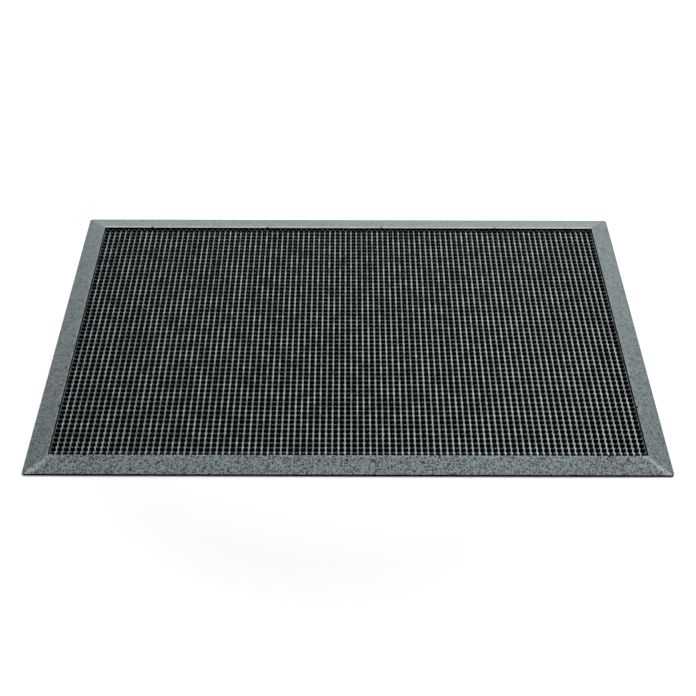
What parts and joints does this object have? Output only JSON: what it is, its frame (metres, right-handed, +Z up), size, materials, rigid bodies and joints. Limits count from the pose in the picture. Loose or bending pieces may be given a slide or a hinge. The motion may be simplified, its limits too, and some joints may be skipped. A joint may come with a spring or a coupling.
{
  "type": "door mat",
  "caption": "Flat rubber scraper door mat with a recessed field of short pins inside a ramped border with mitred corners.",
  "frame": {"origin": "on the ground, under the middle of the mat", "axes": "+X along the mat's length to the right, +Y away from the front edge across its depth, +Z up"},
  "size_m": [0.6, 0.39, 0.0056],
  "materials": {
    "border_rubber": "moulded rubber, dull sheen, fine pitted grain",
    "web_rubber": "moulded rubber, smooth dull sheen",
    "pin_rubber": "moulded rubber, black, matt"
  },
  "bodies": {
    "root": {"base_web": "web_rubber", "pin_field": "pin_rubber", "border_front": "border_rubber", "border_back": "border_rubber", "border_left": "border_rubber", "border_right": "border_rubber"}
  },
  "joints": []
}
